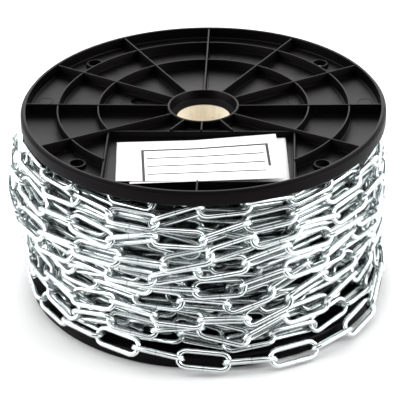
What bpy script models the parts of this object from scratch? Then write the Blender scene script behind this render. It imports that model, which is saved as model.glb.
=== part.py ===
# A full reel of long-link steel chain, standing on its lower flange.
#
# Metres, +Z up. The reel's axis is the Z axis and the floor is z = 0.
# The two flanges are one moulding used twice, turned over for the lower end.
# The chain is a hidden inner winding and the outer layer of turns, on which each
# link's outer half stands up from the layer's face, leaning up or down in turn.
# The lowest strand is of whole links, which hang over the lower flange's rim at the front.

import math

import bpy
import bmesh
from mathutils import Matrix, Vector

MM = 0.001
GAP = 0.3 * MM

# Reel
FLANGE_RADIUS = 105.0 * MM
FLANGE_HEIGHT = 8.5 * MM
REEL_HEIGHT = 113.3 * MM
FLANGE_SEGMENTS = 48

# Flange moulding, measured from its inner, chain side
WEB = 2.0 * MM
WALL = 1.2 * MM
WALL_ROOT = 1.0 * MM
BEAD_INNER = 102.0 * MM
BEAD_OUTER = 103.85 * MM
BEAD_STEP = 1.5 * MM
SKIRT_FOOT = 0.75 * MM
SKIRT_CHAMFER = 0.6 * MM
BORE_RADIUS = 15.35 * MM
BORE_LIP = 0.6 * MM
LEDGE_RADIUS = 18.2 * MM
LEDGE_HEIGHT = 2.5 * MM
HUB_INNER = 19.3 * MM
HUB_OUTER = 20.8 * MM
RIB_TOP_AT_HUB = 6.4 * MM
RIB_TOP_AT_RIM = 8.1 * MM
RING_RADII = (60.5 * MM, 83.8 * MM)
RIB_COUNT = 12

# Label pocket, a box between the hub and the front of the rim
POCKET_BACK = -30.25 * MM
POCKET_FRONT = -90.0 * MM
POCKET_HALF_WIDTH = 52.4 * MM
POCKET_TOP = 7.2 * MM

# Holes through the web
BOSS_RADIUS = 5.0 * MM
BOSS_HOLE = 3.2 * MM
BOSS_TOP = 3.8 * MM
BOSS_CIRCLE = 92.5 * MM
BOSS_ANGLES = (43.0, 137.0, -137.0, -43.0)
PLAIN_HOLE = 4.5 * MM
PLAIN_HOLE_CIRCLE = 41.3 * MM
PLAIN_HOLE_ANGLE = 158.0
HOLE_SEGMENTS = 12

# Cardboard tube and the collars that hold its ends
TUBE_OUTER = 18.4 * MM
TUBE_INNER = 15.65 * MM
TUBE_SEGMENTS = 32
COLLAR_INNER = TUBE_OUTER + GAP
COLLAR_OUTER = 20.3 * MM
COLLAR_DEPTH = 5.0 * MM

# Long-link chain: links 32 mm long and 12 mm wide, in 3 mm wire. In the winding each link's outer
# half is drawn, as a leaning bar on two legs, a little smaller, so that it stays apart from its
# neighbours.
LINK_PITCH = 26.0 * MM
PLATE_LENGTH = 25.2 * MM
PLATE_TOP_LENGTH = 24.0 * MM
PLATE_WIDTH = 11.0 * MM
WIRE = 2.7 * MM
PLATE_FOOT = -5.55 * MM
LEG = 3.0 * MM
LINK_LEAN = 42.0
LINK_STEP_BETWEEN_TURNS = 0.76

# The lowest strand, which hangs over the lower rim at the front. Each point is where two of its
# links hook together: the angle in degrees, and the radius and height in millimetres.
LOW_STRAND = (
    (-168.4, 101.5, 13.6), (-153.9, 104.6, 12.8), (-139.4, 105.1, 12.3), (-124.9, 104.8, 12.7),
    (-110.4, 109.0, 13.3), (-96.0, 111.2, 11.4), (-82.0, 111.1, 8.2), (-68.2, 112.4, 7.0),
    (-54.3, 112.2, 6.6), (-40.4, 111.6, 7.6), (-26.0, 108.8, 12.0), (-11.6, 105.3, 15.2), (2.8, 100.5, 14.6),
)
STRAND_LEANS = (57.0, -14.0)
STRAND_LEAN_OUTSIDE_RIM = -38.0
STRAND_OUTSIDE_RIM = 108.9 * MM
STRAND_LENGTH = 31.7 * MM
STRAND_HOLE = 25.6 * MM
STRAND_WIDTH = 11.7 * MM
STRAND_CORNER = 3.0 * MM

# Winding; it sits a little towards -X on the reel, as in the photo
TURN_RADII = tuple(r * MM for r in (107.2, 107.0, 107.8, 108.4, 111.4, 115.4, 113.8, 112.0, 109.0, 105.6))
LEAN = 1.4 * MM
FACE_DEPTH = 8.3 * MM
LAYER_DEPTH = 13.0 * MM
LAYER_INNER_TURNS = (0, 3, 6, 9)
CHAIN_BORE = COLLAR_OUTER + LEAN + GAP
CHAIN_SEGMENTS = 36

# Label sheets
SHEET = 0.3 * MM
BACK_SHEET = (94.8 * MM, 52.0 * MM)
BACK_SHEET_AT = (1.3 * MM, -60.2 * MM)
BACK_SHEET_TURN = 3.0
FRONT_SHEET = (83.0 * MM, 55.0 * MM)
FRONT_SHEET_AT = (2.7 * MM, -62.0 * MM)
FRONT_SHEET_TURN = 4.7

BLACK_PLASTIC = ((0.030, 0.030, 0.032), 0.42, 0.0)
ZINC_STEEL = ((0.72, 0.75, 0.75), 0.24, 1.0)
CARDBOARD = ((0.68, 0.50, 0.31), 0.85, 0.0)
PAPER = ((0.92, 0.92, 0.91), 0.80, 0.0)


# Scene and collections

def clear_scene():
    for obj in list(bpy.data.objects):
        bpy.data.objects.remove(obj, do_unlink=True)


def new_collection(name):
    collection = bpy.data.collections.new(name)
    bpy.context.scene.collection.children.link(collection)
    return collection


def finish_material(name, look):
    colour, roughness, metallic = look
    material = bpy.data.materials.new(name)
    material.use_nodes = True
    shader = material.node_tree.nodes["Principled BSDF"]
    shader.inputs["Base Color"].default_value = (*colour, 1.0)
    shader.inputs["Roughness"].default_value = roughness
    shader.inputs["Metallic"].default_value = metallic
    return material


# Shapes

def object_from_bmesh(name, bm, collection):
    mesh = bpy.data.meshes.new(name)
    bm.to_mesh(mesh)
    bm.free()
    obj = bpy.data.objects.new(name, mesh)
    collection.objects.link(obj)
    return obj


def applied(obj):
    """Turns the object's modifiers or curve into a plain mesh object of the same name."""
    bpy.context.view_layer.update()
    graph = bpy.context.evaluated_depsgraph_get()
    mesh = bpy.data.meshes.new_from_object(obj.evaluated_get(graph))
    bm = bmesh.new()
    bm.from_mesh(mesh)
    bmesh.ops.remove_doubles(bm, verts=bm.verts, dist=0.002 * MM)
    bm.to_mesh(mesh)
    bm.free()
    name, collection, matrix = obj.name, obj.users_collection[0], obj.matrix_world.copy()
    bpy.data.objects.remove(obj, do_unlink=True)
    flat = bpy.data.objects.new(name, mesh)
    collection.objects.link(flat)
    flat.matrix_world = matrix
    return flat


def turned(name, profile, segments, collection):
    """Sweeps a closed profile of (radius, height) points once around the Z axis."""
    bm = bmesh.new()
    points = [bm.verts.new((radius, 0.0, height)) for radius, height in profile]
    for index, point in enumerate(points):
        bm.edges.new((point, points[(index + 1) % len(points)]))
    obj = object_from_bmesh(name, bm, collection)
    screw = obj.modifiers.new("Turn", "SCREW")
    screw.axis = "Z"
    screw.angle = math.tau
    screw.steps = segments
    screw.render_steps = segments
    screw.use_merge_vertices = True
    screw.merge_threshold = 0.00001
    return applied(obj)


def upright_plate(name, outline, thickness, angle, collection):
    """A flat plate through the axis, from an outline of (radius, height) points."""
    curve = bpy.data.curves.new(name, "CURVE")
    curve.dimensions = "2D"
    curve.fill_mode = "BOTH"
    curve.extrude = thickness / 2
    spline = curve.splines.new("POLY")
    spline.points.add(len(outline) - 1)
    for point, (radius, height) in zip(spline.points, outline):
        point.co = (radius, height, 0.0, 1.0)
    spline.use_cyclic_u = True
    obj = bpy.data.objects.new(name, curve)
    collection.objects.link(obj)
    obj.rotation_euler = (math.pi / 2, 0.0, angle)
    return applied(obj)


def box_between(name, low, high, collection):
    low, high = Vector(low), Vector(high)
    bm = bmesh.new()
    size = high - low
    place = Matrix.Translation((low + high) / 2) @ Matrix.Diagonal((*size, 1.0))
    bmesh.ops.create_cube(bm, size=1.0, matrix=place)
    return object_from_bmesh(name, bm, collection)


def post(name, radius, low, high, at, collection):
    bm = bmesh.new()
    place = Matrix.Translation((at[0], at[1], (low + high) / 2))
    bmesh.ops.create_cone(bm, cap_ends=True, segments=HOLE_SEGMENTS, radius1=radius, radius2=radius,
                          depth=high - low, matrix=place)
    return object_from_bmesh(name, bm, collection)


def combine(obj, operation, collection, crossing=False):
    """Joins the collection's solids to the object, or cuts them; crossing ones overlap each other."""
    for helper in collection.objects:
        helper.hide_render = True
        helper.display_type = "WIRE"
    boolean = obj.modifiers.new(operation.title(), "BOOLEAN")
    boolean.operation = operation
    boolean.operand_type = "COLLECTION"
    boolean.collection = collection
    boolean.solver = "EXACT"
    boolean.use_self = crossing
    return applied(obj)


def shade_round(obj):
    obj.data.shade_smooth()
    obj.data.set_sharp_from_angle(angle=math.radians(30))


# Flange

def rib_top(radius):
    """The ribs fall a little from the rim towards the hub."""
    share = (radius - HUB_OUTER) / (BEAD_INNER - HUB_OUTER)
    return RIB_TOP_AT_HUB + share * (RIB_TOP_AT_RIM - RIB_TOP_AT_HUB)


def flange_profile():
    return [
        (BEAD_INNER, FLANGE_HEIGHT),
        (BEAD_OUTER, FLANGE_HEIGHT),
        (BEAD_OUTER, FLANGE_HEIGHT - BEAD_STEP),
        (FLANGE_RADIUS, FLANGE_HEIGHT - BEAD_STEP),
        (FLANGE_RADIUS, SKIRT_FOOT),
        (FLANGE_RADIUS - SKIRT_CHAMFER, 0.0),
        (COLLAR_OUTER, 0.0),
        (COLLAR_OUTER, -COLLAR_DEPTH),
        (COLLAR_INNER, -COLLAR_DEPTH),
        (COLLAR_INNER, 0.0),
        (BORE_RADIUS, 0.0),
        (BORE_RADIUS, BORE_LIP),
        (LEDGE_RADIUS, LEDGE_HEIGHT),
        (HUB_INNER, RIB_TOP_AT_HUB),
        (HUB_OUTER, RIB_TOP_AT_HUB),
        (HUB_OUTER, WEB),
        (BEAD_INNER, WEB),
    ]


def rib(name, start, end, degrees, collection):
    outline = [(start, WALL_ROOT), (end, WALL_ROOT), (end, rib_top(end)), (start, rib_top(start))]
    upright_plate(name, outline, WALL, math.radians(degrees), collection)


def add_ribs(walls):
    """Twelve spokes; those that meet the label pocket stop at its back wall."""
    inside_hub = (HUB_INNER + HUB_OUTER) / 2
    inside_bead = (BEAD_INNER + BEAD_OUTER) / 2
    for index in range(RIB_COUNT):
        degrees = 360.0 / RIB_COUNT * index - 180.0
        end = inside_bead
        if -150.0 < degrees < -30.0:
            end = POCKET_BACK / math.sin(math.radians(degrees))
        rib(f"rib_{index}", inside_hub, end, degrees, walls)
    rib("rib_front", -POCKET_FRONT, inside_bead, -90.0, walls)


def add_pocket_walls(walls):
    half = WALL / 2
    side = POCKET_HALF_WIDTH
    front_end = math.sqrt(BEAD_OUTER ** 2 - POCKET_FRONT ** 2) - 2 * half
    side_end = -math.sqrt(BEAD_OUTER ** 2 - side ** 2) + 2 * half
    spans = {
        "pocket_back": ((-side - half, POCKET_BACK - half), (side + half, POCKET_BACK + half)),
        "pocket_front": ((-front_end, POCKET_FRONT - half), (front_end, POCKET_FRONT + half)),
        "pocket_left": ((-side - half, side_end), (-side + half, POCKET_BACK)),
        "pocket_right": ((side - half, side_end), (side + half, POCKET_BACK)),
    }
    for name, (low, high) in spans.items():
        box_between(name, (*low, WALL_ROOT), (*high, POCKET_TOP), walls)


def add_rings(walls, cuts):
    """Two round walls, open where the pocket crosses them."""
    for index, radius in enumerate(RING_RADII):
        outer, inner, top = radius + WALL / 2, radius - WALL / 2, rib_top(radius)
        profile = [(inner, top), (outer, top), (outer, WALL_ROOT), (inner, WALL_ROOT)]
        ring = turned(f"ring_{index}", profile, FLANGE_SEGMENTS, walls)
        pocket = new_collection(f"ring_{index}_pocket")
        box_between(f"ring_{index}_gap", (-POCKET_HALF_WIDTH, -BEAD_INNER, -WEB),
                    (POCKET_HALF_WIDTH, POCKET_BACK, FLANGE_HEIGHT + WEB), pocket)
        combine(ring, "DIFFERENCE", pocket)
        for helper in list(pocket.objects):
            pocket.objects.unlink(helper)
            cuts.objects.link(helper)
        bpy.data.collections.remove(pocket)


def on_circle(radius, degrees):
    return (radius * math.cos(math.radians(degrees)), radius * math.sin(math.radians(degrees)))


def make_flange_mesh(helpers):
    """The moulding: a turned web, hub and rim with ribs, pocket, bosses and holes."""
    body = turned("flange_body", flange_profile(), FLANGE_SEGMENTS, helpers)
    walls = new_collection("flange_walls")
    spare = new_collection("ring_cutters")
    add_rings(walls, spare)
    add_ribs(walls)
    add_pocket_walls(walls)
    for index, degrees in enumerate(BOSS_ANGLES):
        post(f"boss_{index}", BOSS_RADIUS, WALL_ROOT, BOSS_TOP, on_circle(BOSS_CIRCLE, degrees), walls)
    body = combine(body, "UNION", walls)

    holes = new_collection("flange_holes")
    for index, degrees in enumerate(BOSS_ANGLES):
        place = on_circle(BOSS_CIRCLE, degrees)
        post(f"hole_{index}", BOSS_HOLE, -WEB, FLANGE_HEIGHT, place, holes)
    post("hole_plain", PLAIN_HOLE, -WEB, FLANGE_HEIGHT,
         on_circle(PLAIN_HOLE_CIRCLE, PLAIN_HOLE_ANGLE), holes)
    body = combine(body, "DIFFERENCE", holes)
    mesh = body.data.copy()
    for collection in (walls, spare, holes):
        for helper in list(collection.objects):
            bpy.data.objects.remove(helper, do_unlink=True)
        bpy.data.collections.remove(collection)
    bpy.data.objects.remove(body, do_unlink=True)
    return mesh


def add_flanges(reel, helpers):
    shape = make_flange_mesh(helpers)
    places = {
        "top_flange": Matrix.Translation((0.0, 0.0, REEL_HEIGHT - FLANGE_HEIGHT)),
        "bottom_flange": Matrix.Translation((0.0, 0.0, FLANGE_HEIGHT)) @ Matrix.Rotation(math.pi, 4, "X"),
    }
    for name, place in places.items():
        flange = bpy.data.objects.new(name, shape.copy())
        flange.matrix_world = place
        flange.data.materials.append(finish_material(f"{name}_plastic", BLACK_PLASTIC))
        shade_round(flange)
        reel.objects.link(flange)


# Tube

def add_tube(reel):
    top = REEL_HEIGHT - FLANGE_HEIGHT - GAP
    bottom = FLANGE_HEIGHT + GAP
    profile = [(TUBE_INNER, top), (TUBE_OUTER, top), (TUBE_OUTER, bottom), (TUBE_INNER, bottom)]
    tube = turned("core_tube", profile, TUBE_SEGMENTS, reel)
    tube.data.materials.append(finish_material("tube_cardboard", CARDBOARD))
    shade_round(tube)


# Chain

WINDING_BOTTOM = FLANGE_HEIGHT + GAP
WINDING_TOP = REEL_HEIGHT - FLANGE_HEIGHT - GAP
TURN_PITCH = (WINDING_TOP - WINDING_BOTTOM) / len(TURN_RADII)
LINK_REACH = (PLATE_WIDTH * math.cos(math.radians(LINK_LEAN)) + WIRE * math.sin(math.radians(LINK_LEAN))) / 2


def turn_height(index):
    return WINDING_BOTTOM + (index + 0.5) * TURN_PITCH


def layer_inner_points():
    """The inner side of the outer layer, from bottom to top."""
    points = [(TURN_RADII[index] - LAYER_DEPTH, turn_height(index)) for index in LAYER_INNER_TURNS]
    points[0] = (points[0][0], WINDING_BOTTOM)
    points[-1] = (points[-1][0], WINDING_TOP)
    return points


def outer_turns_profile():
    """The face that the links' inner halves make, bulging as the turns do."""
    points = [(radius - FACE_DEPTH, turn_height(index)) for index, radius in enumerate(TURN_RADII)]
    points[0] = (points[0][0], WINDING_BOTTOM)
    points[-1] = (points[-1][0], WINDING_TOP)
    return list(reversed(points)) + layer_inner_points()


def link_places(step=1):
    """Yields each link's frame and pitch: X across it and outwards, Y along it, Z its thin way."""
    for index, radius in enumerate(TURN_RADII):
        middle = radius - LINK_REACH
        count = 2 * round(math.pi * middle / LINK_PITCH)
        chord_sag = PLATE_TOP_LENGTH ** 2 / 16 / radius
        for link in range(0, count, step):
            spin = math.tau * (link + LINK_STEP_BETWEEN_TURNS * index) / count
            lean = math.radians(LINK_LEAN if link % 2 == 0 else -LINK_LEAN)
            place = (Matrix.Rotation(spin, 4, "Z")
                     @ Matrix.Translation((middle - chord_sag, 0.0, turn_height(index)))
                     @ Matrix.Rotation(lean, 4, "Y"))
            yield place, math.tau * middle / count


def add_plate(bm, outline, thickness, place):
    """A flat plate of the outline's shape, centred on its own plane."""
    sides = [[bm.verts.new(place @ Vector((x, y, height))) for x, y in outline]
             for height in (-thickness / 2, thickness / 2)]
    low, high = sides
    bm.faces.new(low[::-1])
    bm.faces.new(high)
    for index in range(len(outline)):
        after = (index + 1) % len(outline)
        bm.faces.new((low[index], low[after], high[after], high[index]))


def link_outline(pitch):
    """The outer half of a link, as a bar and two legs that reach the layer's face."""
    foot, top = PLATE_FOOT, PLATE_WIDTH / 2
    end, top_end = PLATE_LENGTH / 2 * pitch / LINK_PITCH, PLATE_TOP_LENGTH / 2 * pitch / LINK_PITCH
    return [(foot, -end), (top, -top_end), (top, top_end), (foot, end),
            (foot, end - LEG), (top - WIRE, top_end - LEG), (top - WIRE, LEG - top_end), (foot, LEG - end)]


def strand_places():
    """Yields each link's frame in the lowest strand, whose links hang open and lie edge-on in turn."""
    joints = [Vector((*on_circle(radius, degrees), height)) * MM for degrees, radius, height in LOW_STRAND]
    for index, (start, end) in enumerate(zip(joints, joints[1:])):
        middle, along = (start + end) / 2, (end - start).normalized()
        outward = Vector((middle.x, middle.y, 0.0))
        outward = (outward - along * outward.dot(along)).normalized()
        lean = STRAND_LEANS[(index + 1) % 2]
        if lean < 0.0 and outward.dot(middle) > STRAND_OUTSIDE_RIM:
            lean = STRAND_LEAN_OUTSIDE_RIM
        axes = Matrix((outward, along, outward.cross(along))).transposed().to_4x4()
        yield Matrix.Translation(middle) @ axes @ Matrix.Rotation(math.radians(lean), 4, "Y")


def add_open_link(bm, place):
    """A whole link as a flat ring with cut corners."""
    end, side, corner = STRAND_LENGTH / 2, STRAND_WIDTH / 2, STRAND_CORNER
    outer = [(side, end - corner), (side - corner, end), (corner - side, end), (-side, end - corner),
             (-side, corner - end), (corner - side, -end), (side - corner, -end), (side, corner - end)]
    hole_side, hole_end = side - WIRE, STRAND_HOLE / 2
    inner = [(hole_side, hole_end), (-hole_side, hole_end), (-hole_side, -hole_end), (hole_side, -hole_end)]
    levels = []
    for height in (-WIRE / 2, WIRE / 2):
        points = [[place @ Vector((x, y, height)) for x, y in loop] for loop in (outer, inner)]
        levels.append([[bm.verts.new(point) for point in loop] for loop in points])
    for ring, hole in levels:
        for quarter in range(4):
            first, second, third = ring[2 * quarter], ring[2 * quarter + 1], ring[(2 * quarter + 2) % 8]
            bm.faces.new((hole[quarter], first, second))
            bm.faces.new((hole[quarter], second, third, hole[(quarter + 1) % 4]))
    for low, high in zip(*levels):
        for index in range(len(low)):
            after = (index + 1) % len(low)
            bm.faces.new((low[index], low[after], high[after], high[index]))


def link_plates(collection):
    """The half links of every turn, and the whole links of the strand over the rim."""
    bm = bmesh.new()
    first, last = LOW_STRAND[0][0], LOW_STRAND[-1][0]
    for place, pitch in link_places():
        across = place.translation
        degrees = math.degrees(math.atan2(across.y, across.x))
        if across.z > turn_height(0.5) or not first < degrees < last:
            add_plate(bm, link_outline(pitch), WIRE, place)
    for place in strand_places():
        add_open_link(bm, Matrix.Translation((LEAN, 0.0, 0.0)) @ place)
    bmesh.ops.recalc_face_normals(bm, faces=bm.faces)
    return object_from_bmesh("link_plates", bm, collection)


def add_outer_turns(reel):
    layer = turned("chain_outer_turns", outer_turns_profile(), CHAIN_SEGMENTS, reel)
    links = new_collection("links")
    helper = link_plates(links)
    layer = combine(layer, "UNION", links, crossing=True)
    bpy.data.objects.remove(helper, do_unlink=True)
    bpy.data.collections.remove(links)
    layer.location.x = -LEAN
    layer.data.materials.append(finish_material("outer_chain_zinc", ZINC_STEEL))


def add_inner_turns(reel):
    """All the hidden turns, as one plain core with the reel's bore."""
    outer = [(radius - GAP, height) for radius, height in reversed(layer_inner_points())]
    profile = outer + [(CHAIN_BORE, WINDING_BOTTOM), (CHAIN_BORE, WINDING_TOP)]
    core = turned("chain_inner_turns", profile, CHAIN_SEGMENTS, reel)
    core.location.x = -LEAN
    core.data.materials.append(finish_material("inner_chain_zinc", ZINC_STEEL))
    shade_round(core)


# Label sheets

def add_sheet(name, size, centre, tilt, turn, reel):
    bm = bmesh.new()
    bmesh.ops.create_cube(bm, size=1.0, matrix=Matrix.Diagonal((*size, SHEET, 1.0)))
    sheet = object_from_bmesh(name, bm, reel)
    sheet.matrix_world = (Matrix.Translation(centre) @ Matrix.Rotation(tilt, 4, "X")
                          @ Matrix.Rotation(math.radians(turn), 4, "Z"))
    sheet.data.materials.append(finish_material(f"{name}_paper", PAPER))


def add_labels(reel):
    """One sheet lies on the pocket's floor; the other leans on the front wall."""
    inner_face = REEL_HEIGHT - FLANGE_HEIGHT
    floor = inner_face + WEB + GAP + SHEET / 2
    add_sheet("label_back_sheet", BACK_SHEET, (*BACK_SHEET_AT, floor), 0.0, BACK_SHEET_TURN, reel)

    rear_height = floor + SHEET + GAP
    wall_height = inner_face + POCKET_TOP + GAP + SHEET / 2
    turn = math.radians(FRONT_SHEET_TURN)
    reach = (FRONT_SHEET[1] * math.cos(turn) + FRONT_SHEET[0] * math.sin(turn)) / 2
    slope = (wall_height - rear_height) / (FRONT_SHEET_AT[1] + reach - POCKET_FRONT)
    tilt = -math.atan(slope)
    middle_height = rear_height + slope * reach
    add_sheet("label_front_sheet", FRONT_SHEET, (*FRONT_SHEET_AT, middle_height), tilt,
              FRONT_SHEET_TURN, reel)


def main():
    clear_scene()
    reel = new_collection("chain_reel")
    helpers = new_collection("helpers")
    add_flanges(reel, helpers)
    bpy.data.collections.remove(helpers)
    add_tube(reel)
    add_inner_turns(reel)
    add_outer_turns(reel)
    add_labels(reel)


main()
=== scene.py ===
import math

import bmesh
import bpy
import numpy as np
from mathutils import Matrix, Vector

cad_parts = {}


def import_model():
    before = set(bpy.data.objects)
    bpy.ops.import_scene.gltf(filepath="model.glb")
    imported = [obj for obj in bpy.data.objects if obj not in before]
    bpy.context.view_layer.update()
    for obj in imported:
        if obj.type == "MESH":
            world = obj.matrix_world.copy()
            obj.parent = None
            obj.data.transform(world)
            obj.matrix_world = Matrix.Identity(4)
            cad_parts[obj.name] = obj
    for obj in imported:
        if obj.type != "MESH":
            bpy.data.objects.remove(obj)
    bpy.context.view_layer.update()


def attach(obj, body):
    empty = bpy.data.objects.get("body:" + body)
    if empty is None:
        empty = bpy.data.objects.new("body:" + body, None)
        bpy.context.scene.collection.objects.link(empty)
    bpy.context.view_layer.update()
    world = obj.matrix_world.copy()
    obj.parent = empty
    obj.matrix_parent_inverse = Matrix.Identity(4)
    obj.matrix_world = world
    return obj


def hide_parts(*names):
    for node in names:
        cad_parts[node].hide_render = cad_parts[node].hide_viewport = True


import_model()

MM = 0.001

# Reel, in millimetres, as in the frame
REEL_HEIGHT = 113.3
FLANGE_HEIGHT = 8.5
FLANGE_RADIUS = 105.0
WEB = 2.0
BEAD_INNER = 102.0
BEAD_OUTER = 103.85
BEAD_STEP = 1.5
SKIRT_FOOT = 0.75
BORE_RADIUS = 15.35
LEDGE_RADIUS = 18.2
LEDGE_HEIGHT = 2.5
HUB_INNER = 19.3
HUB_OUTER = 20.8
RIB_TOP_AT_HUB = 7.4
RIB_TOP_AT_RIM = 8.2
RIB_COUNT = 12
RING_RADII = (60.5, 83.8)
RING_BELOW_RIBS = 0.3
BETWEEN_RINGS = 70.0
POCKET_BACK = -30.25
POCKET_FRONT = -90.0
POCKET_HALF_WIDTH = 52.4
POCKET_TOP = 7.2
POCKET_BACK_TOP = 6.4
DRAFT = 0.1
WALL = 1.2
WALL_DRAFT = 0.12
WALL_FOOT = 0.9
WALL_ROOT = 0.4
COLLAR_INNER = 18.7
COLLAR_OUTER = 20.3
COLLAR_DEPTH = 5.0
TUBE_OUTER = 18.4
TUBE_INNER = 15.65
TUBE_END_GAP = 0.3
BOSS_CIRCLE = 92.5
BOSS_ANGLES = (43.0, 137.0, -137.0, -43.0)
BOSS_RADIUS = 5.2
BOSS_HOLE = 3.9
BOSS_TOP = 3.8
BOSS_ROOT = 0.3
FLANGE_SEGMENTS = 160
ROUND_SEGMENTS = 32
CORE_SEGMENTS = 96
SHARP_ANGLE = 35.0

# One plain hole and the shallow marks of the ejector pins: distance from the axis, angle in
# degrees and own radius. The lip of a mark is given from its own radius and the web.
PLAIN_HOLE = (41.3, 158.0, 4.5)
PIN_MARKS = (
    (93.8, 170.6, 4.2), (53.8, 163.4, 4.6), (55.0, 16.5, 4.6),
    (75.1, 82.4, 5.0), (94.5, 8.8, 4.2), (75.1, -26.0, 5.0),
    (75.1, -154.0, 5.0), (33.0, -62.0, 3.6), (33.0, -118.0, 3.6),
)
PIN_LIP = ((-0.22, -0.2), (-0.22, 0.02), (-0.1, 0.14), (0.05, 0.14), (0.18, 0.02), (0.18, -0.2))

# Camera, solved from the rims and ribs in the photo
CAMERA_ELEVATION = 31.42
CAMERA_DISTANCE = 12.33 * FLANGE_RADIUS
CAMERA_AZIMUTH_SHIFT = 2.50
CAMERA_PAN = 0.133
CAMERA_TILT = 1.909
CAMERA_ROLL = 1.081
FOCAL_PIXELS = 2153.7
FRAME_PIXELS = 400
SENSOR = 36.0

# Chain, in millimetres
WIRE_RADIUS = 1.5
PITCH = 26.0
HALF_LONG = 14.5
HALF_WIDE = 4.5
WINDING_LOW = FLANGE_HEIGHT
WINDING_HIGH = REEL_HEIGHT - FLANGE_HEIGHT
CLEARANCE = 0.15
SPACE_LOW = (-116.8, -115.5, CLEARANCE)
SPACE_HIGH = (114.0, 115.5, WINDING_HIGH - CLEARANCE)
TURNS = 10
FIRST_TURN = 13.3
LAST_TURN = 100.0
LAYERS = 3
LAYER_STEP = 8.5
LEFT_RADII = (107.7, 109.9, 110.4, 103.5, 108.0, 117.0, 121.5, 116.5, 112.0, 108.0)
RIGHT_RADII = (107.5, 107.0, 106.4, 107.4, 105.8, 108.0, 109.5, 109.5, 104.8, 101.5)
CORE_RADIUS = 80.0
CORE_BORE = 40.0
CORE_SET_BACK = 1.0
CORE_END_GAP = 0.4
SEED = 13

# Where the chain climbs from turn to turn, in degrees along it
PATH_STEP = 0.5
CROSSOVER_WIDTH = 34.0
CROSSOVER_END = -75.0
OUTWARD_STEP = (318.0, 358.0)
LAST_TURN_SHORT = 58.0
LATEST_CROSSOVER = 56.0
LATE_TURNS = 6

# Unrest of the winding: height and radius in millimetres, roll of the links in degrees
HEIGHT_UNREST = 1.2
RADIUS_UNREST = 0.7
ROLL = 45.0
ROLL_SWAY = 11.0
ROLL_SCATTER = 8.0

# How the laid chain is relaxed: distances in millimetres and shares of each error per round
RELAX_ROUNDS = 160
STILL_ROUNDS = 25
SEARCH_EVERY = 4
PITCH_ROUNDS = 6
BALLS_PER_SIDE = 8
BALLS_PER_END = 4
CONTACT = 2 * WIRE_RADIUS + 0.08
NEARBY = 2 * WIRE_RADIUS + 2.0
TURN_ARM = HALF_WIDE ** 2 + 6.0
PUSH_SHARE = 1.6
TURN_SHARE = 1.2
HELD_SHARE = 0.2
ROLL_SHARE = 0.01
FACE_SHARE = 0.5
JOINT_DEPTH = 2.2
LAYER_FREEDOM = (1.0, 0.7, 0.25)
OUTER_DRAW = 0.05
INNER_DRAW = 0.01

# The lowest strand, which hangs over the lower rim at the front. Each point is where two of its
# links hook together: the angle in degrees, the radius and height in millimetres, and the roll of
# the link that starts there.
LOW_STRAND = (
    (-168.4, 101.5, 13.6, 14), (-153.9, 104.6, 12.8, -57), (-139.4, 105.1, 12.3, 14),
    (-124.9, 104.8, 12.7, -57), (-110.4, 109.0, 13.3, 38), (-96.0, 111.2, 11.4, -57),
    (-82.0, 111.1, 8.2, 38), (-68.2, 112.4, 7.0, -57), (-54.3, 112.4, 6.6, 38),
    (-40.4, 111.6, 7.6, -57), (-27.0, 109.7, 10.6, 61), (-15.2, 105.8, 23.3, -45),
    (-2.0, 102.4, 23.2, 45),
)
STRAND_HOOK = -82.0
RIM_REACH = FLANGE_RADIUS + WIRE_RADIUS + 0.1

# Label sheets, in millimetres, and the printed bars of the front one as shares of its size:
# left, right, low and high
SHEET_THICKNESS = 0.12
BACK_SHEET = (94.8, 52.0)
FRONT_SHEET = (83.0, 55.0)
PRINTED_BARS = (
    (0.084, 0.103, 0.05, 0.810), (0.084, 0.937, 0.774, 0.810), (0.918, 0.937, 0.30, 0.810),
    (0.120, 0.900, 0.586, 0.611), (0.120, 0.900, 0.391, 0.416), (0.120, 0.900, 0.196, 0.221),
)

# Studio: floor and lights in metres, lights' power in watts
FLOOR_HALF = 12.0
FLOOR_WHITE = 0.86
LIGHTS = (
    ("left_card", (-1.4, -0.38, 0.55), 1.6, 18.0),
    ("right_card", (1.4, -0.30, 0.55), 1.6, 16.0),
    ("left_softbox", (-1.3, -0.4, 0.9), 0.7, 9.0),
    ("right_softbox", (1.3, -0.3, 0.8), 0.7, 8.0),
    ("rear_softbox", (0.0, 1.4, 0.95), 1.2, 14.0),
    ("top_softbox", (0.0, -0.75, 1.5), 0.8, 5.0),
)
LIGHTS_AIM = (0, 0, 0.05)

# Surround: its brightness at places from 0, opposite the dark strip, to 1, in the strip's middle
DARK_STRIP = (0.04, -1.0, 0.0)
SURROUND_FLATTENING = 0.25
SURROUND_TINT = (1.0, 1.01, 1.01)
SURROUND_STOPS = (
    (0.0, 1.45), (0.30, 1.20), (0.80, 1.20), (0.87, 0.85), (0.935, 0.04), (1.0, 0.02),
)


# Node helpers

def set_stops(node, stops):
    """Gives a colour ramp its (position, colour) stops."""
    elements = node.color_ramp.elements
    while len(elements) < len(stops):
        elements.new(0.5)
    for element, (position, colour) in zip(elements, stops):
        element.position = position
        element.color = (*colour, 1.0)


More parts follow.
